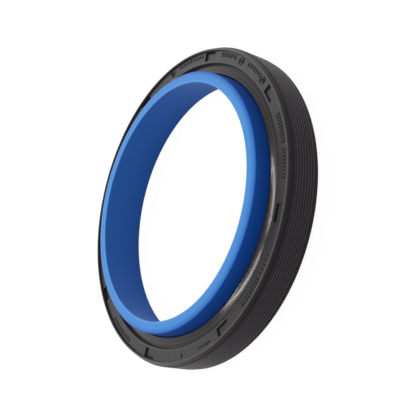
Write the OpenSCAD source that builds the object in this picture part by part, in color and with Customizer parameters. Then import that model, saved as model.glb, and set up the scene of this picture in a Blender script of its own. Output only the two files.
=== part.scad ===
// Crankshaft seal on its transport sleeve, lying flat with its air side up.
// Lengths are in millimetres. Z is the shaft's axis and Z = 0 is the plane it lies on.

/* [Housing fit] */
// Diameter of the housing bore that the ribbed rubber is pressed into
housing_d = 130; // [115:1:145]
// Radial space from the housing bore in to the front rim of the transport sleeve
ring_w = 12.2; // [11.3:0.05:14.5]
// Width of the seal from the crest of its front rim to its rear face
seal_w = 13.6; // [12.6:0.2:16]
// Axial length of the lead-in at the front of the outside
lead_in_l = 2.45; // [1.95:0.05:2.95]
// Radial height of that lead-in
lead_in_h = 1; // [0.8:0.1:1.4]
// Axial length of the slight taper at the rear of the outside
rear_taper_l = 1.6; // [1:0.1:1.7]
// Radial height of that taper
rear_taper_h = 0.2; // [0.1:0.05:0.4]

/* [Outside ribs] */
// Axial distance from one rib to the next
rib_pitch = 1.29; // [1.14:0.05:1.59]
// Radius of the round groove between two ribs
rib_groove_r = 0.58; // [0.45:0.01:0.62]
// Depth of that groove
rib_groove_d = 0.3; // [0.15:0.05:0.4]
// Plain band left between the last rib and the rear face
plain_band = 2; // [1.8:0.1:2.6]

/* [Front face] */
// Width of the raised rim around the face
rim_w = 1.15; // [1.1:0.05:1.45]
// Height of that rim above the face
rim_h = 0.85; // [0.4:0.05:1.2]
// Rubber over the steel flange, which is also the depth of the locating pockets
face_t = 0.8; // [0.7:0.05:1.2]
// Rounding on the outer edge of the rim, where the lead-in starts
crest_round = 0.4; // [0.3:0.05:0.65]
// Step from the face down to the root of the dust lip
step_h = 1.1; // [0.8:0.05:1.5]
// Radius on the moulded edges of the rim and the face
edge_round = 0.25; // [0.1:0.05:0.35]

/* [Locating pockets] */
// Number of pockets around the face
pocket_count = 8; // [4:1:12]
// Angle that one pocket spans in degrees
pocket_span = 6.3; // [4:0.1:9]
// Land between a pocket and the rim
pocket_rim_land = 0.1; // [0.05:0.05:0.3]
// Land between a pocket and the step
pocket_step_land = 1.2; // [1.1:0.1:1.8]

/* [Dust lip] */
// Width of the lip from its edge out to the step in the face
dust_w = 4.35; // [4:0.05:4.8]
// Radial gap between the lip's edge and the sleeve
dust_gap = 0.2; // [0.1:0.05:0.6]
// Height of the face above the lip's edge
dust_drop = 0.1; // [0:0.05:0.6]
// Thickness of the lip at its edge
dust_t = 1.2; // [0.8:0.1:1.5]
// Radius of the lip's slightly hollow front
dust_hollow_r = 25; // [20:1:60]

/* [Steel case] */
// Sheet thickness
steel_t = 1; // [0.8:0.1:1.2]
// Rubber between the steel wall and the housing bore
cover_t = 1.4; // [1.2:0.1:2]
// Inside radius of the bend between wall and flange
bend_r = 0.8; // [0.4:0.1:1]
// Distance from the step in the face out to the joggle in the flange
joggle_set = 0.9; // [0.6:0.1:1]
// Rubber bead around the flange's inner edge
bead_w = 1.2; // [1:0.1:1.4]
// Distance from the wall's rear edge to the seal's rear face
steel_setback = 1; // [0.6:0.1:1.6]

/* [Sealing lip] */
// Thickness of the lip's sheet
lip_t = 0.8; // [0.6:0.05:1]
// Rubber between the steel flange and the bonded disc of the lip
back_t = 0.6; // [0.4:0.1:0.9]
// Radius of the lip's turn, measured at its inner side
lip_turn_r = 2; // [1.4:0.1:2.4]
// Length of the lip that lies on the sleeve
lip_seat_l = 3.8; // [3:0.1:4.4]
// Land between the bonded disc and the steel wall
disc_land = 1.9; // [1.5:0.1:2.4]
// Number of oil return grooves in the lip
oil_grooves = 4; // [2:1:4]
// Depth of one oil return groove
oil_groove_d = 0.25; // [0.1:0.05:0.35]

/* [Transport sleeve] */
// Growth of the outer radius from the front rim to the rear end
sleeve_flare = 1.7; // [1.3:0.05:2.1]
// Wall thickness at the front rim
sleeve_front_t = 4.6; // [3:0.1:5]
// Wall thickness at the rear end
sleeve_rear_t = 1; // [0.8:0.1:1.6]
// Length that stands proud of the seal's front rim
sleeve_proud = 5.4; // [3.4:0.1:7]
// Length that stands out behind the seal's rear face
sleeve_tail = 2.4; // [1.6:0.1:5]
// Radius on the inner edge of the front rim
sleeve_in_round = 0.35; // [0.2:0.05:0.8]
// Width of the slight bevel along the outside of the front rim
sleeve_bevel_w = 1.5; // [0.8:0.1:2]
// Height of that bevel
sleeve_bevel_h = 0.5; // [0.2:0.1:0.8]
// Radius between that bevel and the outer wall
sleeve_out_round = 0.35; // [0.2:0.05:0.5]

/* [Hidden] */
$fn = 144;

// Draft of the rim's inner side in degrees
rim_draft_angle = 12;
// Where the dust lip's rounded edge meets its underside and its hollow front, in degrees
nose_under_angle = 250;
nose_over_angle = 72;
// Where the rounding of the rim's outer edge ends on the lead-in, in degrees
crest_end_angle = 24;
// Break on the two edges of the sleeve's rear end
rear_break = 0.2;

// Heights, from the plane that the sleeve stands on
rear_z = sleeve_tail;
front_z = rear_z + seal_w;
sleeve_h = front_z + sleeve_proud;
face_z = front_z - rim_h;
root_z = face_z - step_h;
edge_z = face_z - dust_drop;
flange_z = face_z - face_t;
inner_flange_z = flange_z - step_h;
bond_z = inner_flange_z - steel_t - back_t;
disc_z = bond_z - lip_t;

// Radii, from the housing bore inwards
bore_r = housing_d / 2;
crest_r = bore_r - lead_in_h;
face_r = crest_r - rim_w;
steel_r = bore_r - cover_t;
wall_r = steel_r - steel_t;
disc_r = wall_r - disc_land;

// Radii, from the sleeve outwards
edge_r = sleeve_r(edge_z) + dust_gap;
step_r = edge_r + dust_w;
turn_z = disc_z - lip_turn_r;
turn_r = sleeve_r(turn_z) + lip_t + lip_turn_r;
bead_r = turn_r - lip_turn_r / 2;
flange_r = bead_r + bead_w;

// Outer radius of the conical sleeve at a height
function sleeve_r(z) = bore_r - ring_w + sleeve_flare * (1 - z / sleeve_h);

// Points along an arc from one angle to another
function arc(centre, radius, from, to, steps = 10) =
    [for (i = [0 : steps]) centre + radius * on_circle(from + (to - from) * i / steps)];
function on_circle(angle) = [cos(angle), sin(angle)];

// Points along an arc of a radius that sags between two points, from left to right
function hollow_centre(a, b, radius) =
    let (chord = b - a, half = norm(chord) / 2, rise = sqrt(radius * radius - half * half))
    (a + b) / 2 + rise * [-chord[1], chord[0]] / norm(chord);
function hollow(a, b, radius) =
    let (
        centre = hollow_centre(a, b, radius),
        from = atan2(a[1] - centre[1], a[0] - centre[0]),
        to = atan2(b[1] - centre[1], b[0] - centre[0])
    )
    arc(centre, radius, from, to);

// The steel's section: wall, rounded bend, flange and the joggle that lowers its inner part
module steel_section() {
    outer_bend = bend_r + steel_t;
    joggle_r = step_r + joggle_set;
    mitre = steel_t * tan(22.5);
    polygon(concat(
        [[wall_r, rear_z + steel_setback], [steel_r, rear_z + steel_setback]],
        arc([steel_r - outer_bend, flange_z - outer_bend], outer_bend, 0, 90),
        [
            [joggle_r, flange_z],
            [joggle_r - step_h, inner_flange_z],
            [flange_r, inner_flange_z],
            [flange_r, inner_flange_z - steel_t],
            [joggle_r - step_h + mitre, inner_flange_z - steel_t],
            [joggle_r + mitre, flange_z - steel_t]
        ],
        arc([wall_r - bend_r, flange_z - steel_t - bend_r], bend_r, 90, 0)
    ));
}

// Everything inside the rubber's outline, with the steel still filled in
module rubber_outline() {
    nose_r = dust_t / 2;
    nose = [edge_r + nose_r, edge_z - nose_r];
    nose_end = nose + nose_r * on_circle(nose_over_angle);
    rim_draft = rim_h * tan(rim_draft_angle);
    polygon(concat(
        arc(nose, nose_r, nose_under_angle, nose_over_angle),
        hollow(nose_end, [step_r, root_z], dust_hollow_r),
        arc([step_r + edge_round, face_z - edge_round], edge_round, 180, 90, 4),
        [[face_r, face_z]],
        arc([face_r + rim_draft + edge_round, front_z - edge_round], edge_round, 180, 90, 4),
        arc([crest_r - crest_round, front_z - crest_round], crest_round, 90, crest_end_angle, 5),
        [
            [bore_r, front_z - lead_in_l],
            [bore_r, rear_z + rear_taper_l],
            [bore_r - rear_taper_h, rear_z],
            [wall_r, rear_z],
            [wall_r, rear_z + steel_setback],
            [wall_r + steel_t / 2, rear_z + steel_setback + steel_t]
        ],
        arc([wall_r - bend_r, flange_z - steel_t - bend_r], bend_r + steel_t / 2, 0, 90),
        [
            [disc_r + back_t, flange_z - steel_t / 2],
            [disc_r + back_t, bond_z],
            [bead_r, bond_z],
            [bead_r, inner_flange_z - steel_t]
        ]
    ));
}

// Round grooves that leave the ribs standing between them
module rib_grooves() {
    count = floor((seal_w - lead_in_l - plain_band) / rib_pitch);
    for (i = [0 : count - 1])
        translate([bore_r + rib_groove_r - rib_groove_d,
                   front_z - lead_in_l - (i + 0.5) * rib_pitch])
            circle(rib_groove_r);
}

// Pocket in the face where a mould pin held the steel flange
module locating_pocket() {
    from_r = step_r + pocket_step_land;
    to_r = face_r - pocket_rim_land;
    rotate([0, 0, -pocket_span / 2])
        rotate_extrude(angle = pocket_span)
            translate([from_r, flange_z - steel_t / 2])
                square([to_r - from_r, face_t + steel_t]);
}

module rubber_body() {
    color([0.09, 0.085, 0.085])
        difference() {
            rotate_extrude()
                difference() {
                    rubber_outline();
                    steel_section();
                    rib_grooves();
                }
            for (i = [0 : pocket_count - 1])
                rotate([0, 0, i * 360 / pocket_count])
                    locating_pocket();
        }
}

module steel_case() {
    color([0.22, 0.22, 0.23])
        rotate_extrude()
            steel_section();
}

// Sheet lip: a bonded disc that turns down and lies along the sleeve
module sealing_lip() {
    end_z = turn_z - lip_seat_l;
    groove_pitch = lip_seat_l / (oil_grooves + 1);
    color([0.2, 0.16, 0.13])
        rotate_extrude()
            difference() {
                polygon(concat(
                    [[disc_r, disc_z], [disc_r, bond_z]],
                    arc([turn_r, turn_z], lip_turn_r + lip_t, 90, 180),
                    [[sleeve_r(end_z), end_z], [sleeve_r(end_z) + lip_t, end_z]],
                    arc([turn_r, turn_z], lip_turn_r, 180, 90)
                ));
                for (i = [1 : oil_grooves], z = turn_z - i * groove_pitch)
                    translate([sleeve_r(z), z])
                        circle(oil_groove_d);
            }
}

module transport_sleeve() {
    rear_r = sleeve_r(0);
    rear_in_r = rear_r - sleeve_rear_t;
    front_in_r = sleeve_r(sleeve_h) - sleeve_front_t;
    bevel_angle = atan2(sleeve_bevel_h, sleeve_bevel_w);
    round_z = sleeve_h - sleeve_bevel_h - sleeve_out_round;
    color([0.07, 0.33, 0.75])
        rotate_extrude()
            polygon(concat(
                [
                    [rear_in_r, rear_break],
                    [rear_in_r + rear_break, 0],
                    [rear_r - rear_break, 0],
                    [sleeve_r(rear_break), rear_break]
                ],
                arc([sleeve_r(round_z) - sleeve_out_round, round_z],
                    sleeve_out_round, 0, 90 - bevel_angle, 4),
                [[sleeve_r(sleeve_h) - sleeve_bevel_w, sleeve_h]],
                arc([front_in_r + sleeve_in_round, sleeve_h - sleeve_in_round],
                    sleeve_in_round, 90, 180, 8)
            ));
}

rubber_body();
steel_case();
sealing_lip();
transport_sleeve();
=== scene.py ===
import math

import bmesh
import bpy
from mathutils import Matrix, Vector


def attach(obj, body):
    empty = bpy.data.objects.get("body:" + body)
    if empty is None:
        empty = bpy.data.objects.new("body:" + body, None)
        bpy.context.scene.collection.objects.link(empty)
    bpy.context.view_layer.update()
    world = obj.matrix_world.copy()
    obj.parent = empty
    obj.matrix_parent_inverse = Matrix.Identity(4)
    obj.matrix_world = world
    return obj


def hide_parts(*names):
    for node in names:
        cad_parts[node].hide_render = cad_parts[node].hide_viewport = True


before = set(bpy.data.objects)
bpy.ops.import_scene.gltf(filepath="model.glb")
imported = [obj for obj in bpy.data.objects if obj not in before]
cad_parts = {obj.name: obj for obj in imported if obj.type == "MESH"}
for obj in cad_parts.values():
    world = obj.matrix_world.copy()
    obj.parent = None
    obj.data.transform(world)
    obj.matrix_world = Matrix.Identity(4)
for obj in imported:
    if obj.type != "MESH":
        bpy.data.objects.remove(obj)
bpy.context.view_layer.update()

MM = 0.001

# Sizes of the part, as in its source: lengths in millimetres, the number of pockets and the
# angle in degrees that one of them spans
BORE_R = 65.0
RING_W = 12.2
SEAL_W = 13.6
LEAD_IN_L = 2.45
LEAD_IN_H = 1.0
REAR_TAPER_L = 1.6
REAR_TAPER_H = 0.2
RIB_PITCH = 1.29
RIB_GROOVE_R = 0.58
RIB_GROOVE_D = 0.3
PLAIN_BAND = 2.0
RIM_W = 1.15
RIM_H = 0.85
FACE_T = 0.8
STEP_H = 1.1
EDGE_ROUND = 0.25
CREST_ROUND = 0.4
POCKETS = 8
POCKET_SPAN = 6.3
POCKET_RIM_LAND = 0.1
POCKET_STEP_LAND = 1.2
DUST_W = 4.35
DUST_GAP = 0.2
DUST_DROP = 0.1
DUST_T = 1.2
DUST_HOLLOW_R = 25.0
STEEL_T = 1.0
COVER_T = 1.4
BEND_R = 0.8
JOGGLE_SET = 0.9
BEAD_W = 1.2
STEEL_SETBACK = 1.0
LIP_T = 0.8
BACK_T = 0.6
LIP_TURN_R = 2.0
DISC_LAND = 1.9
SLEEVE_FLARE = 1.7
SLEEVE_FRONT_T = 4.6
SLEEVE_REAR_T = 1.0
SLEEVE_PROUD = 5.4
SLEEVE_TAIL = 2.4
SLEEVE_IN_ROUND = 0.35
SLEEVE_OUT_ROUND = 0.35
SLEEVE_BEVEL_W = 1.5
SLEEVE_BEVEL_H = 0.5
REAR_BREAK = 0.2

# Angles in degrees: draft of the rim's inner side, where the dust lip's rounded edge meets its
# underside and its hollow front, and where the rounding of the rim's outer edge ends
RIM_DRAFT_ANGLE = 12
NOSE_UNDER_ANGLE = 250
NOSE_OVER_ANGLE = 72
CREST_END_ANGLE = 24

# Heights, from the plane that the sleeve stands on
REAR_Z = SLEEVE_TAIL
FRONT_Z = REAR_Z + SEAL_W
SLEEVE_H = FRONT_Z + SLEEVE_PROUD
FACE_Z = FRONT_Z - RIM_H
ROOT_Z = FACE_Z - STEP_H
EDGE_Z = FACE_Z - DUST_DROP
FLANGE_Z = FACE_Z - FACE_T
INNER_FLANGE_Z = FLANGE_Z - STEP_H
BOND_Z = INNER_FLANGE_Z - STEEL_T - BACK_T
DISC_Z = BOND_Z - LIP_T
LEAD_IN_Z = FRONT_Z - LEAD_IN_L

# Radii, from the housing bore inwards
SLEEVE_R = BORE_R - RING_W
CREST_R = BORE_R - LEAD_IN_H
FACE_R = CREST_R - RIM_W
STEEL_R = BORE_R - COVER_T
WALL_R = STEEL_R - STEEL_T
DISC_R = WALL_R - DISC_LAND


def sleeve_r(z):
    """Outside radius of the tapered sleeve at a height."""
    return SLEEVE_R + SLEEVE_FLARE * (1 - z / SLEEVE_H)


# Radii, from the sleeve outwards
EDGE_R = sleeve_r(EDGE_Z) + DUST_GAP
STEP_R = EDGE_R + DUST_W
TURN_Z = DISC_Z - LIP_TURN_R
TURN_R = sleeve_r(TURN_Z) + LIP_T + LIP_TURN_R
BEAD_R = TURN_R - LIP_TURN_R / 2
FLANGE_R = BEAD_R + BEAD_W
JOGGLE_R = STEP_R + JOGGLE_SET
POCKET_IN_R = STEP_R + POCKET_STEP_LAND
POCKET_OUT_R = FACE_R - POCKET_RIM_LAND

# The steel's mitre at its joggle, its outside bend, the rim's draft and the number of grooves
MITRE = STEEL_T * math.tan(math.radians(22.5))
OUTER_BEND = BEND_R + STEEL_T
RIM_DRAFT = RIM_H * math.tan(math.radians(RIM_DRAFT_ANGLE))
RIB_GROOVES = math.floor((SEAL_W - LEAD_IN_L - PLAIN_BAND) / RIB_PITCH)

# Steps of the meshes: columns across a pocket, between two pockets and round the sleeve,
# and the longest step along the sleeve's outline
POCKET_COLUMNS = 9
GAP_COLUMNS = 52
SLEEVE_COLUMNS = 480
SLEEVE_STEP = 0.9

# Fine detail that only this script adds
TURNING_PITCH = 0.42
SKIVING_PITCH = 0.5
MARK_R = 61.1
MARK_H = 0.25
MARK_SINK = 0.15
MARK_DRAFT = 0.25
TICK_HALF = 0.22
TICK_SHORT = 0.3
# Start, end, number, inner and outer radius of each run of ticks on the face
TICK_RUNS = (
    (-33.0, -22.5, 9, 60.2, 62.1), (-20.5, -14.0, 5, 60.4, 61.9), (11.7, 21.5, 9, 60.2, 62.1),
    (24.2, 35.0, 10, 60.1, 62.1), (55.2, 64.0, 7, 60.6, 62.4), (73.2, 82.0, 7, 60.5, 62.5),
    (95.0, 110.0, 11, 60.6, 62.2), (239.0, 254.0, 11, 60.5, 62.1), (290.6, 290.6, 1, 60.4, 62.1),
)
# Angle and outer radius of each small ring, and the radii of the ring inside it
MARK_RINGS = ((52.5, 1.6), (69.0, 1.6), (115.0, 1.4))
MARK_RING_W = 0.26
MARK_RING_DRAFT = 0.04
INNER_RING = (0.75, 0.40)
ARROW_SPAN = (300.0, 307.5)
ARROW_HEAD = 0.36
ARROW_HALF = 0.16
ARROW_WING = 0.62

# Colours of the rubber, linear
BLACK = (0.0228, 0.0220, 0.0231)
BLOOM = (0.0325, 0.0312, 0.0324)
WARM = (0.0310, 0.0250, 0.0313)
WARM_BLOOM = (0.0380, 0.0308, 0.0384)
# Painted shade: darker rubber for the lead-in and rear band
SIDE_PAINTED_SHADE = (0.0225, 0.0200, 0.0225)
# Painted highlight: lighter rubber on the rib crests
CREST_PAINTED_HIGHLIGHT = (0.093, 0.076, 0.091)
DULL = (0.0140, 0.0130, 0.0135)
LIP_PALE = (0.0540, 0.0495, 0.0500)
# Painted highlight: lighter rubber on the rim's outer edge and beside the step
EDGE_PAINTED_HIGHLIGHT = (0.075, 0.070, 0.072)
# Painted shade: a dark line in the corner of the step
STEP_PAINTED_SHADE = (0.012, 0.0115, 0.012)

# Colours of the sleeve, linear. A pair is the two shades of a cloudy surface. The outer wall, the
# bore and the front rim are lit and shaded copies of one blue, painted light and shade, the rim
# lightest.
OUTER_LOW_PAINTED_SHADE = ((0.008, 0.080, 0.43, 1), (0.011, 0.092, 0.47, 1))
OUTER_HIGH = ((0.015, 0.114, 0.55, 1), (0.019, 0.126, 0.59, 1))
INNER_WALL = ((0.046, 0.204, 0.71, 1), (0.054, 0.226, 0.76, 1))
FRONT_RIM = ((0.057, 0.246, 0.63, 1), (0.064, 0.266, 0.67, 1))
BEVEL_PAINTED_SHADE = (0.047, 0.205, 0.56, 1)
BROW_PAINTED_HIGHLIGHT = (0.085, 0.310, 0.76, 1)

# Colours of the steel case and of the lip's sheet, linear
PHOSPHATE = ((0.022, 0.0215, 0.0225, 1), (0.046, 0.045, 0.047, 1))
SHEET = ((0.040, 0.030, 0.023, 1), (0.052, 0.039, 0.030, 1))
SHEET_FLECK = (0.085, 0.066, 0.050, 1)

# Light: what the floor and the world show to the camera, and what they give to the part
FLOOR_HALF = 3.0
FLOOR_GLOW = 0.96
FLOOR_TONE = 0.3
SHADOW_TONE = 0.07
WORLD_LIGHT = 0.424
WORLD_SEEN = 1.0
STRIP_LINE = (0.223, 0.975, 0)
STRIP_SIZE = (0.33, 0.035)
STRIP_COLOUR = (1.0, 0.93, 0.88)

# The photograph's camera, in the part's frame
CAM_AIM = Vector((20.68, -0.940, FRONT_Z))
CAM_DISTANCE = 309.455
CAM_AZIMUTH = math.radians(-4.717)
CAM_ELEVATION = math.radians(35.260)
CAM_ROLL = math.radians(-75.820)
CAM_LENS = 70.43
CAM_SENSOR = 36.0


def make_camera():
    """Camera at the photograph's viewing angle, rolled about its own axis."""
    data = bpy.data.cameras.new("camera")
    data.lens = CAM_LENS
    data.sensor_width = CAM_SENSOR
    data.clip_start = 0.01
    data.clip_end = 20.0
    camera = bpy.data.objects.new("camera", data)
    bpy.context.scene.collection.objects.link(camera)
    back = Vector((
        math.cos(CAM_ELEVATION) * math.cos(CAM_AZIMUTH),
        math.cos(CAM_ELEVATION) * math.sin(CAM_AZIMUTH),
        math.sin(CAM_ELEVATION),
    ))
    level = Vector((0, 0, 1)).cross(back).normalized()
    upright = back.cross(level)
    right = math.cos(CAM_ROLL) * level + math.sin(CAM_ROLL) * upright
    up = back.cross(right)
    place = (CAM_AIM + back * CAM_DISTANCE) * MM
    turn = Matrix((right, up, back)).transposed().to_4x4()
    camera.matrix_world = Matrix.Translation(place) @ turn
    bpy.context.scene.camera = camera


def arc(centre, radius, start, end, steps):
    """Points of an arc between two angles in degrees."""
    points = []
    for i in range(steps + 1):
        a = math.radians(start + (end - start) * i / steps)
        points.append((centre[0] + radius * math.cos(a), centre[1] + radius * math.sin(a)))
    return points


def hollow(a, b, radius, steps):
    """Arc of a radius that sags below a and b, from left to right."""
    dx, dz = b[0] - a[0], b[1] - a[1]
    chord = math.hypot(dx, dz)
    rise = math.sqrt(radius ** 2 - (chord / 2) ** 2)
    cx = (a[0] + b[0]) / 2 - rise * dz / chord
    cz = (a[1] + b[1]) / 2 + rise * dx / chord
    start = math.degrees(math.atan2(a[1] - cz, a[0] - cx))
    end = math.degrees(math.atan2(b[1] - cz, b[0] - cx))
    return arc((cx, cz), radius, start, end, steps)


def evenly(points, gap):
    """Adds points so that no straight step of an open line is longer than gap."""
    out = [points[0]]
    for a, b in zip(points, points[1:]):
        n = max(1, math.ceil(math.dist(a, b) / gap))
        for i in range(1, n + 1):
            out.append((a[0] + (b[0] - a[0]) * i / n, a[1] + (b[1] - a[1]) * i / n))
    return out


def clean(points):
    """Drops points that lie on the one before, also where the loop closes."""
    out = []
    for p in points:
        if not out or math.dist(p, out[-1]) > 1e-5:
            out.append(p)
    if math.dist(out[0], out[-1]) < 1e-5:
        out.pop()
    return out


def finish_mesh(bm, name, material, sharp=32):
    """Object of a mesh, smooth but for its edges that are sharper than an angle."""
    mesh = bpy.data.meshes.new(name)
    bmesh.ops.recalc_face_normals(bm, faces=bm.faces)
    bm.to_mesh(mesh)
    bm.free()
    mesh.polygons.foreach_set("use_smooth", [True] * len(mesh.polygons))
    mesh.set_sharp_from_angle(angle=math.radians(sharp))
    mesh.materials.append(material)
    obj = bpy.data.objects.new(name, mesh)
    bpy.context.scene.collection.objects.link(obj)
    return obj


def grid(bm, profile, angles):
    """Vertex columns of a closed section turned to each angle in degrees."""
    columns = []
    for a in angles:
        c, s = math.cos(math.radians(a)), math.sin(math.radians(a))
        columns.append([bm.verts.new((r * c * MM, r * s * MM, z * MM)) for r, z in profile])
    return columns


def skin(bm, columns, skip=lambda i, j: False):
    """Faces between the columns, all round, apart from the cells that skip names."""
    n, m = len(columns), len(columns[0])
    for i in range(n):
        here, there = columns[i], columns[(i + 1) % n]
        for j in range(m):
            if not skip(i, j):
                k = (j + 1) % m
                bm.faces.new((here[j], there[j], there[k], here[k]))


def rubber_profile():
    """Section of the rubber as a loop, with the ends of a pocket's mouth and of its floor."""
    nose_r = DUST_T / 2
    nose = (EDGE_R + nose_r, EDGE_Z - nose_r)
    top = []
    top += arc(nose, nose_r, NOSE_UNDER_ANGLE, NOSE_OVER_ANGLE, 16)
    top += hollow(top[-1], (STEP_R, ROOT_Z), DUST_HOLLOW_R, 12)
    top += arc((STEP_R + EDGE_ROUND, FACE_Z - EDGE_ROUND), EDGE_ROUND, 180, 90, 7)
    top += [(POCKET_IN_R, FACE_Z)]
    first = len(clean(top)) - 1
    top += [(POCKET_IN_R + (POCKET_OUT_R - POCKET_IN_R) * i / 6, FACE_Z) for i in range(1, 7)]
    last = len(clean(top)) - 1
    top += [(FACE_R, FACE_Z)]
    top += arc((FACE_R + RIM_DRAFT + EDGE_ROUND, FRONT_Z - EDGE_ROUND), EDGE_ROUND, 180, 90, 6)
    top += arc((CREST_R - CREST_ROUND, FRONT_Z - CREST_ROUND), CREST_ROUND,
               90, CREST_END_ANGLE, 8)
    ribs = [(BORE_R, LEAD_IN_Z)]
    half = math.degrees(math.acos((RIB_GROOVE_R - RIB_GROOVE_D) / RIB_GROOVE_R))
    for i in range(RIB_GROOVES):
        z = LEAD_IN_Z - (i + 0.5) * RIB_PITCH
        centre = (BORE_R + RIB_GROOVE_R - RIB_GROOVE_D, z)
        ribs += arc(centre, RIB_GROOVE_R, 180 - half, 180 + half, 9)
    ribs += [(BORE_R, REAR_Z + REAR_TAPER_L), (BORE_R - REAR_TAPER_H, REAR_Z)]
    setback_z = REAR_Z + STEEL_SETBACK
    inner = [(WALL_R, REAR_Z), (WALL_R, setback_z), (STEEL_R, setback_z)]
    bend = (STEEL_R - OUTER_BEND, FLANGE_Z - OUTER_BEND)
    cut = math.degrees(math.acos((POCKET_OUT_R - bend[0]) / OUTER_BEND))
    inner += arc(bend, OUTER_BEND, 0, cut, 6)
    loop = clean(top + ribs + inner)
    floor_first = len(loop) - 1
    inner = arc(bend, OUTER_BEND, cut, 90, 2)[1:]
    inner += [(POCKET_IN_R, FLANGE_Z)]
    loop += inner
    floor_last = len(loop) - 1
    loop += [
        (JOGGLE_R, FLANGE_Z),
        (JOGGLE_R - STEP_H, INNER_FLANGE_Z),
        (FLANGE_R, INNER_FLANGE_Z),
        (FLANGE_R, INNER_FLANGE_Z - STEEL_T),
        (JOGGLE_R - STEP_H + MITRE, INNER_FLANGE_Z - STEEL_T),
        (JOGGLE_R + MITRE, FLANGE_Z - STEEL_T),
        (DISC_R + BACK_T, FLANGE_Z - STEEL_T),
        (DISC_R + BACK_T, BOND_Z),
        (BEAD_R, BOND_Z),
        (BEAD_R, INNER_FLANGE_Z - STEEL_T),
    ]
    return loop, (first, last), (floor_first, floor_last)


def make_rubber(material):
    """The rubber, turned round its axis, with its pockets open from face to flange."""
    profile, roof, floor = rubber_profile()
    pitch = 360 / POCKETS
    gap = pitch - POCKET_SPAN
    period = POCKET_COLUMNS + GAP_COLUMNS
    angles = []
    for k in range(POCKETS):
        start = k * pitch - POCKET_SPAN / 2
        angles += [start + POCKET_SPAN * i / POCKET_COLUMNS for i in range(POCKET_COLUMNS)]
        angles += [start + POCKET_SPAN + gap * i / GAP_COLUMNS for i in range(GAP_COLUMNS)]

    def open_cell(i, j):
        if i % period >= POCKET_COLUMNS:
            return False
        return roof[0] <= j < roof[1] or floor[0] <= j < floor[1]

    bm = bmesh.new()
    columns = grid(bm, profile, angles)
    skin(bm, columns, open_cell)
    n = len(columns)
    for k in range(POCKETS):
        first = k * period
        for i in range(first, first + POCKET_COLUMNS):
            here, there = columns[i], columns[(i + 1) % n]
            bm.faces.new((here[roof[0]], there[roof[0]], there[floor[1]], here[floor[1]]))
            bm.faces.new((here[roof[1]], there[roof[1]], there[floor[0]], here[floor[0]]))
        for i in (first, first + POCKET_COLUMNS):
            column = columns[i % n]
            ring = [column[j] for j in range(roof[0], roof[1] + 1)]
            ring += [column[j] for j in range(floor[0], floor[1] + 1)]
            bm.faces.new(ring)
    obj = finish_mesh(bm, "moulded_rubber", material)
    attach(obj, "root")
    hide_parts("rubber_body")
    return obj


def make_sleeve(material):
    """The tapered sleeve, with its bevelled front rim and thin rear end."""
    rear_r = sleeve_r(0)
    rear_in = rear_r - SLEEVE_REAR_T
    front_in = sleeve_r(SLEEVE_H) - SLEEVE_FRONT_T
    bevel = math.degrees(math.atan2(SLEEVE_BEVEL_H, SLEEVE_BEVEL_W))
    round_z = SLEEVE_H - SLEEVE_BEVEL_H - SLEEVE_OUT_ROUND
    outside = [(rear_r - REAR_BREAK, 0), (sleeve_r(REAR_BREAK), REAR_BREAK)]
    outside += arc((sleeve_r(round_z) - SLEEVE_OUT_ROUND, round_z), SLEEVE_OUT_ROUND,
                   0, 90 - bevel, 8)
    outside += [(sleeve_r(SLEEVE_H) - SLEEVE_BEVEL_W, SLEEVE_H)]
    front = arc((front_in + SLEEVE_IN_ROUND, SLEEVE_H - SLEEVE_IN_ROUND),
                SLEEVE_IN_ROUND, 90, 180, 14)
    inside = [front[-1], (rear_in, REAR_BREAK), (rear_in + REAR_BREAK, 0)]
    loop = evenly(outside + front + inside[1:], SLEEVE_STEP)
    bm = bmesh.new()
    columns = grid(bm, clean(loop), [360 * i / SLEEVE_COLUMNS for i in range(SLEEVE_COLUMNS)])
    skin(bm, columns)
    obj = finish_mesh(bm, "moulded_sleeve", material)
    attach(obj, "root")
    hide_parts("transport_sleeve")
    return obj


class Nodes:
    """Small helper that adds and joins shader nodes of one material or world."""

    def __init__(self, owner):
        self.owner = owner
        owner.use_nodes = True
        self.tree = owner.node_tree
        self.tree.nodes.clear()

    def add(self, kind, inputs=(), **settings):
        node = self.tree.nodes.new(kind)
        for key, value in settings.items():
            setattr(node, key, value)
        for key, value in dict(inputs).items():
            if isinstance(value, bpy.types.NodeSocket):
                self.tree.links.new(value, node.inputs[key])
            else:
                node.inputs[key].default_value = value
        return node

    def math(self, operation, a, b=0.0, c=0.0):
        return self.add("ShaderNodeMath", {0: a, 1: b, 2: c}, operation=operation).outputs[0]

    def times(self, a, b):
        return self.math("MULTIPLY", a, b)

    def add_times(self, a, factor, b):
        return self.math("MULTIPLY_ADD", a, factor, b)

    def invert(self, value):
        return self.math("SUBTRACT", 1.0, value)

    def middle(self, value):
        """Noise of 0 to 1 as a swing about zero."""
        return self.math("SUBTRACT", value, 0.5)

    def smooth(self, value, start, end):
        node = self.add("ShaderNodeMapRange",
                        {"Value": value, "From Min": start, "From Max": end},
                        interpolation_type="SMOOTHSTEP")
        return node.outputs["Result"]

    def mix(self, factor, a, b):
        node = self.add("ShaderNodeMix", {0: factor, 6: a, 7: b}, data_type="RGBA")
        return node.outputs[2]

    def noise(self, vector, scale, detail=2.0, rough=0.5):
        node = self.add("ShaderNodeTexNoise", {
            "Vector": vector, "Scale": scale, "Detail": detail, "Roughness": rough})
        return node.outputs["Fac"]

    def stretch(self, vector, scale):
        node = self.add("ShaderNodeVectorMath", {0: vector, 1: scale}, operation="MULTIPLY")
        return node.outputs[0]

    def output(self, surface):
        self.add("ShaderNodeOutputMaterial", {"Surface": surface})
        return self.owner


def new_material(name):
    return Nodes(bpy.data.materials.new(name))


def millimetres(nodes):
    """Place on the object as a vector in millimetres."""
    place = nodes.add("ShaderNodeTexCoord").outputs["Object"]
    node = nodes.add("ShaderNodeVectorMath", {0: place, "Scale": 1 / MM}, operation="SCALE")
    return node.outputs[0]


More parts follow.
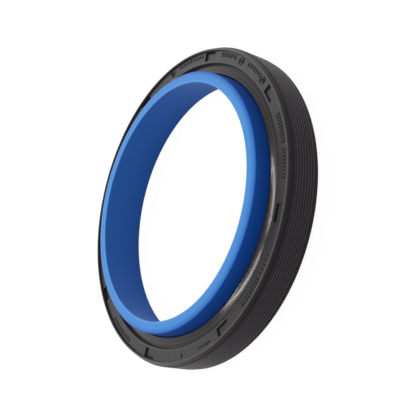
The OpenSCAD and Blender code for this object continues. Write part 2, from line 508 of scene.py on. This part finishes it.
def polar(nodes):
    """Place on the object in millimetres: vector, radius and height."""
    place = millimetres(nodes)
    parts = nodes.add("ShaderNodeSeparateXYZ", {0: place}).outputs
    square = nodes.math("ADD", nodes.times(parts[0], parts[0]), nodes.times(parts[1], parts[1]))
    return place, nodes.math("SQRT", square), parts[2]


def shader(nodes, colour, rough, normal, **settings):
    """Material of a Principled shader, with settings named after its sockets."""
    inputs = {"Base Color": colour, "Roughness": rough, "Normal": normal}
    for key, value in settings.items():
        inputs[key.replace("_", " ")] = value
    node = nodes.add("ShaderNodeBsdfPrincipled", inputs)
    return nodes.output(node.outputs[0])


def bump(nodes, height, depth, under=None):
    """Normal from a height field of 0 to 1 that is depth millimetres deep."""
    inputs = {"Height": height, "Distance": depth * MM, "Strength": 1.0}
    if under is not None:
        inputs["Normal"] = under
    return nodes.add("ShaderNodeBump", inputs).outputs[0]


def rubber_material(name, tone=1.0, rough=0.31):
    """Moulded rubber: cloudy bloom, rings on the dust lip, painted highlights on edges and crests,
    painted shade.
    """
    nodes = new_material(name)
    place, radius, height = polar(nodes)

    def shade(colour):
        return tuple(tone * v for v in colour) + (1,)

    outside = nodes.smooth(radius, CREST_R - 0.3, CREST_R + 0.5)
    lip = nodes.times(nodes.invert(nodes.smooth(radius, STEP_R - 0.5, STEP_R + 0.1)),
                      nodes.smooth(height, ROOT_Z - 1.5, ROOT_Z - 0.5))
    grain = nodes.noise(place, 2.6, 3.0, 0.6)
    cloud = nodes.noise(place, 0.11, 3.0, 0.55)
    streak = nodes.noise(nodes.stretch(place, (0.05, 0.05, 2.4)), 1.0, 3.0, 0.6)
    face = nodes.mix(nodes.smooth(cloud, 0.35, 0.68), shade(BLACK), shade(BLOOM))

    # The outside: streaks between a lead-in and rear band darkened by painted shade, and rib crests
    # lightened by a painted highlight
    side = nodes.mix(nodes.smooth(streak, 0.3, 0.7), shade(WARM), shade(WARM_BLOOM))
    lead = nodes.smooth(height, LEAD_IN_Z - 0.15, LEAD_IN_Z + 0.15)
    rear = nodes.invert(nodes.smooth(height, REAR_Z + 1.2, REAR_Z + 2.4))
    plain = nodes.math("MAXIMUM", lead, rear)
    # The lead-in and rear band take painted shade
    side = nodes.mix(plain, side, shade(SIDE_PAINTED_SHADE))
    wave = nodes.times(nodes.math("SUBTRACT", LEAD_IN_Z, height), 2 * math.pi / RIB_PITCH)
    wave = nodes.math("COSINE", wave)
    # Rib crests, lightened by a painted highlight
    crest_highlight = nodes.times(nodes.smooth(wave, 0.1, 0.9), nodes.times(outside, 0.54))
    crest_highlight = nodes.times(crest_highlight, nodes.invert(plain))
    side = nodes.mix(crest_highlight, side, shade(CREST_PAINTED_HIGHLIGHT))
    colour = nodes.mix(outside, face, side)

    # The dust lip: rings of darker and paler rubber
    along = nodes.add("ShaderNodeCombineXYZ", {"X": radius}).outputs[0]
    ringed = nodes.smooth(nodes.noise(along, 1.1, 2.0, 0.7), 0.38, 0.62)
    colour = nodes.mix(lip, colour, nodes.mix(ringed, shade(DULL), shade(LIP_PALE)))

    # A painted highlight on the rim's outer edge, and along the step's edge a dark line of painted
    # shade in its corner and a light line of painted highlight on the face
    edge = nodes.times(nodes.smooth(radius, CREST_R - 1.1, CREST_R - 0.35),
                       nodes.smooth(height, FRONT_Z - 0.55, FRONT_Z - 0.2))
    colour = nodes.mix(edge, colour, shade(EDGE_PAINTED_HIGHLIGHT))
    top = nodes.smooth(height, FACE_Z - 0.5, FACE_Z - 0.2)
    dark = nodes.invert(nodes.smooth(radius, STEP_R + 0.25, STEP_R + 0.5))
    dark = nodes.times(dark, nodes.smooth(radius, STEP_R - 0.3, STEP_R - 0.1))
    colour = nodes.mix(nodes.times(dark, top), colour, shade(STEP_PAINTED_SHADE))
    light = nodes.invert(nodes.smooth(radius, STEP_R + 0.8, STEP_R + 1.1))
    light = nodes.times(light, nodes.smooth(radius, STEP_R + 0.35, STEP_R + 0.6))
    colour = nodes.mix(nodes.times(nodes.times(light, top), 0.5), colour, shade(EDGE_PAINTED_HIGHLIGHT))

    # Roughness: a glossier dust lip, matt lead-in, rear band and grooves
    level = nodes.add_times(lip, -0.17, rough)
    level = nodes.add_times(outside, -0.02, level)
    matt = nodes.add_times(rear, 0.30, nodes.times(lead, 0.16))
    level = nodes.math("ADD", level, nodes.times(outside, matt))
    groove = nodes.times(outside, nodes.smooth(wave, 0.3, -0.7))
    level = nodes.add_times(groove, 0.40, level)
    level = nodes.add_times(nodes.middle(cloud), 0.16, level)
    level = nodes.add_times(nodes.middle(streak), nodes.times(outside, 0.12), level)

    turned = nodes.math("SINE", nodes.times(radius, 2 * math.pi / TURNING_PITCH))
    lines = nodes.times(nodes.add_times(turned, 0.5, 0.5), lip)
    grain = nodes.times(grain, nodes.add_times(lip, -0.95, 1.0))
    normal = bump(nodes, grain, 0.004)
    normal = bump(nodes, lines, 0.0006, normal)
    return shader(nodes, colour, level, normal, Specular_IOR_Level=0.5,
                  Specular_Tint=(0.25, 0.24, 0.25, 1))


def plastic_material():
    """Blue moulded plastic with cloudy flow marks and a matt bore; rim, bevel, inner edge and low
    outer wall carry painted light and shade.
    """
    nodes = new_material("sleeve_plastic")
    place, radius, height = polar(nodes)
    cloud = nodes.noise(place, 0.07, 2.0, 0.5)
    grain = nodes.noise(place, 1.4, 3.0, 0.6)
    rim = nodes.smooth(height, SLEEVE_H - 0.6, SLEEVE_H - 0.1)
    cone = nodes.add_times(height, -SLEEVE_FLARE / SLEEVE_H, SLEEVE_R + SLEEVE_FLARE)
    inside = nodes.smooth(nodes.math("SUBTRACT", cone, radius), 0.3, 0.8)
    low = nodes.mix(cloud, *OUTER_LOW_PAINTED_SHADE)
    high = nodes.mix(cloud, *OUTER_HIGH)
    # The outer wall is darker towards its foot by the dust lip: painted shade
    outer = nodes.mix(nodes.smooth(height, FRONT_Z - 1.2, SLEEVE_H - 0.4), low, high)
    inner = nodes.mix(cloud, *INNER_WALL)
    deep = nodes.mix(inside, outer, inner)
    front = nodes.mix(cloud, *FRONT_RIM)
    # The rim's outer bevel is darker: painted shade where it tilts away from the light
    bevel = nodes.smooth(radius, SLEEVE_R - 1.8, SLEEVE_R - 1.0)
    front = nodes.mix(bevel, front, BEVEL_PAINTED_SHADE)
    bore_r = SLEEVE_R - SLEEVE_FRONT_T
    # A painted highlight along the rim's inner edge
    brow = nodes.invert(nodes.smooth(radius, bore_r + 0.3, bore_r + 1.3))
    front = nodes.mix(brow, front, BROW_PAINTED_HIGHLIGHT)
    colour = nodes.mix(rim, deep, front)
    lines = nodes.noise(nodes.stretch(place, (0.04, 0.04, 1.6)), 1.0, 2.0, 0.5)
    level = nodes.add_times(nodes.middle(grain), 0.10, 0.40)
    level = nodes.add_times(nodes.times(inside, nodes.invert(rim)), 0.22, level)
    normal = bump(nodes, grain, 0.010)
    normal = bump(nodes, lines, 0.030, normal)
    return shader(nodes, colour, level, normal, Specular_IOR_Level=0.32,
                  Specular_Tint=(0.2, 0.3, 0.5, 1))


def steel_material():
    """Steel under a dark phosphate coat, with small lighter crystals."""
    nodes = new_material("case_steel")
    place = millimetres(nodes)
    crystal = nodes.noise(place, 3.5, 4.0, 0.7)
    patch = nodes.noise(place, 0.3, 2.0, 0.5)
    colour = nodes.mix(nodes.smooth(crystal, 0.40, 0.72), *PHOSPHATE)
    level = nodes.add_times(nodes.middle(patch), 0.2, 0.36)
    return shader(nodes, colour, level, bump(nodes, crystal, 0.015), Specular_IOR_Level=0.5,
                  Specular_Tint=(0.3, 0.3, 0.3, 1))


def sheet_material():
    """Filled sheet of the sealing lip: brown, matt, with fine flecks and skiving lines."""
    nodes = new_material("lip_sheet")
    place, radius = polar(nodes)[:2]
    fleck = nodes.noise(place, 5.0, 3.0, 0.7)
    patch = nodes.noise(place, 0.35, 2.0, 0.5)
    sheet = nodes.mix(patch, *SHEET)
    colour = nodes.mix(nodes.smooth(fleck, 0.52, 0.75), sheet, SHEET_FLECK)
    lines = nodes.math("SINE", nodes.times(radius, 2 * math.pi / SKIVING_PITCH))
    normal = bump(nodes, fleck, 0.010)
    normal = bump(nodes, lines, 0.003, normal)
    level = nodes.add_times(nodes.middle(patch), 0.12, 0.62)
    return shader(nodes, colour, level, normal, Specular_IOR_Level=0.35)


def bar(bm, r_0, r_1, a_0, a_1, height, steps=1):
    """Closed raised bar on the face between two radii and two angles, drafted at its sides."""
    draft = MARK_DRAFT * height
    turn = math.degrees(draft / r_0)
    rings = []
    for z, inset, lean in ((FACE_Z - MARK_SINK, 0, 0), (FACE_Z + height, draft, turn)):
        inner, outer = [], []
        for i in range(steps + 1):
            a = math.radians(a_0 + lean + (a_1 - a_0 - 2 * lean) * i / steps)
            for row, r in ((inner, r_0 + inset), (outer, r_1 - inset)):
                row.append(bm.verts.new((r * math.cos(a) * MM, r * math.sin(a) * MM, z * MM)))
        rings.append((inner, outer))
    (low_in, low_out), (high_in, high_out) = rings
    for i in range(steps):
        bm.faces.new((high_in[i], high_out[i], high_out[i + 1], high_in[i + 1]))
        bm.faces.new((low_in[i + 1], low_out[i + 1], low_out[i], low_in[i]))
        bm.faces.new((low_out[i], low_out[i + 1], high_out[i + 1], high_out[i]))
        bm.faces.new((low_in[i + 1], low_in[i], high_in[i], high_in[i + 1]))
    bm.faces.new((low_in[0], low_out[0], high_out[0], high_in[0]))
    bm.faces.new((low_out[-1], low_in[-1], high_in[-1], high_out[-1]))


def ring(bm, r, angle, outer, inner, height, steps=20):
    """Closed raised ring whose middle is at a radius and an angle on the face."""
    a = math.radians(angle)
    centre = Vector((r * math.cos(a), r * math.sin(a), 0))
    section = (
        (inner, -MARK_SINK), (inner + MARK_RING_DRAFT, height),
        (outer - MARK_RING_DRAFT, height), (outer, -MARK_SINK),
    )
    columns = []
    for i in range(steps):
        t = 2 * math.pi * i / steps
        columns.append([
            bm.verts.new((centre + Vector((q * math.cos(t), q * math.sin(t), FACE_Z + z))) * MM)
            for q, z in section])
    skin(bm, columns)


def arrow(bm, r, a_0, a_1, height):
    """Closed raised arrow that lies along the face and points from a_0 to a_1."""
    neck = a_1 - (a_1 - a_0) * ARROW_HEAD
    outline = [
        (a_0, -ARROW_HALF), (neck, -ARROW_HALF), (neck, -ARROW_WING), (a_1, 0),
        (neck, ARROW_WING), (neck, ARROW_HALF), (a_0, ARROW_HALF),
    ]
    columns = []
    for a, offset in outline:
        t = math.radians(a)
        columns.append([
            bm.verts.new(((r + offset) * math.cos(t) * MM, (r + offset) * math.sin(t) * MM, z * MM))
            for z in (FACE_Z - MARK_SINK, FACE_Z + height)])
    n = len(columns)
    for i in range(n):
        here, there = columns[i], columns[(i + 1) % n]
        bm.faces.new((here[0], there[0], there[1], here[1]))
    for level in (0, 1):
        low = [column[level] for column in columns]
        bm.faces.new((low[0], low[1], low[5], low[6]))
        bm.faces.new((low[1], low[2], low[3], low[4], low[5]))


def make_marks(material):
    """Plain ticks, small rings and an arrow in the places of the moulded marks on the face."""
    bm = bmesh.new()
    for start, end, count, r_0, r_1 in TICK_RUNS:
        for i in range(count):
            a = start + (end - start) * i / max(count - 1, 1)
            short = TICK_SHORT * (i % 3 == 1)
            bar(bm, r_0 + short, r_1, a - TICK_HALF, a + TICK_HALF, MARK_H)
    for angle, size in MARK_RINGS:
        ring(bm, MARK_R, angle, size, size - MARK_RING_W, MARK_H)
        ring(bm, MARK_R, angle, *INNER_RING, MARK_H)
    arrow(bm, MARK_R, *ARROW_SPAN, MARK_H)
    obj = finish_mesh(bm, "face_marks", material)
    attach(obj, "root")
    return obj


def seen_rays(nodes):
    """1 for rays from the camera, from gloss or through glass, 0 for the rest."""
    path = nodes.add("ShaderNodeLightPath").outputs
    bent = nodes.math("MAXIMUM", path["Is Glossy Ray"], path["Is Transmission Ray"])
    return nodes.math("MAXIMUM", path["Is Camera Ray"], bent)


def make_floor():
    """Pale paper that is white to the camera and keeps the part's shadow."""
    nodes = new_material("floor_paper")
    glow = nodes.add("ShaderNodeEmission", {"Color": (1, 1, 1, 1), "Strength": FLOOR_GLOW})
    paper = nodes.add("ShaderNodeBsdfDiffuse", {"Color": (FLOOR_TONE,) * 3 + (1,)})
    faint = nodes.add("ShaderNodeBsdfDiffuse", {"Color": (SHADOW_TONE,) * 3 + (1,)})
    white = nodes.add("ShaderNodeAddShader", {0: glow.outputs[0], 1: faint.outputs[0]})
    mixed = nodes.add("ShaderNodeMixShader",
                      {0: seen_rays(nodes), 1: paper.outputs[0], 2: white.outputs[0]})
    material = nodes.output(mixed.outputs[0])
    bm = bmesh.new()
    bmesh.ops.create_grid(bm, x_segments=1, y_segments=1, size=FLOOR_HALF)
    mesh = bpy.data.meshes.new("floor")
    bm.to_mesh(mesh)
    bm.free()
    mesh.materials.append(material)
    obj = bpy.data.objects.new("floor", mesh)
    bpy.context.scene.collection.objects.link(obj)


def make_world():
    """Studio world, white to the camera and in gloss, and dimmer as a light."""
    world = bpy.data.worlds.new("studio")
    bpy.context.scene.world = world
    nodes = Nodes(world)
    strength = nodes.add("ShaderNodeMapRange", {
        "Value": seen_rays(nodes), "To Min": WORLD_LIGHT, "To Max": WORLD_SEEN}).outputs["Result"]
    back = nodes.add("ShaderNodeBackground", {"Color": (1, 1, 1, 1), "Strength": strength})
    nodes.add("ShaderNodeOutputWorld", {"Surface": back.outputs[0]})


def make_lamp(name, place, size, power, colour=(1, 1, 1), along=(0, 1, 0)):
    """Rectangular lamp that faces the part, with its first side along a direction."""
    data = bpy.data.lights.new(name, "AREA")
    data.shape = "RECTANGLE"
    data.size, data.size_y = size
    data.energy = power
    data.color = colour
    lamp = bpy.data.objects.new(name, data)
    back = (Vector(place) - Vector((0, 0, FRONT_Z * MM))).normalized()
    side = Vector(along)
    side = (side - side.dot(back) * back).normalized()
    turn = Matrix((side, back.cross(side), back)).transposed().to_4x4()
    lamp.matrix_world = Matrix.Translation(place) @ turn
    bpy.context.scene.collection.objects.link(lamp)


make_camera()
make_rubber(rubber_material("rubber"))
# The marks are the rubber at 0.22 of its tone: painted shade for the shade round their raised sides
make_marks(rubber_material("rubber_marks", 0.22, 0.35))
make_sleeve(plastic_material())
for node, material in (("steel_case", steel_material()), ("sealing_lip", sheet_material())):
    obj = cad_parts[node]
    obj.data.materials.clear()
    obj.data.materials.append(material)
make_floor()
make_world()
make_lamp("strip_near", (-0.338, -0.235, 0.87), STRIP_SIZE, 2.0, STRIP_COLOUR, STRIP_LINE)
make_lamp("strip_far", (-0.246, 0.165, 0.87), STRIP_SIZE, 1.9, STRIP_COLOUR, STRIP_LINE)
make_lamp("overhead", (-0.20, 0.0, 0.90), (0.8, 0.8), 0.8)
make_lamp("front_panel", (0.45, -0.03, 0.78), (0.9, 0.25), 1.0)
make_lamp("side_panel", (-0.76, 0.34, 0.60), (0.24, 0.26), 0.45)
make_lamp("low_panel", (-0.76, -0.19, 0.62), (0.20, 0.26), 0.20)

bpy.context.scene.view_settings.view_transform = "Standard"
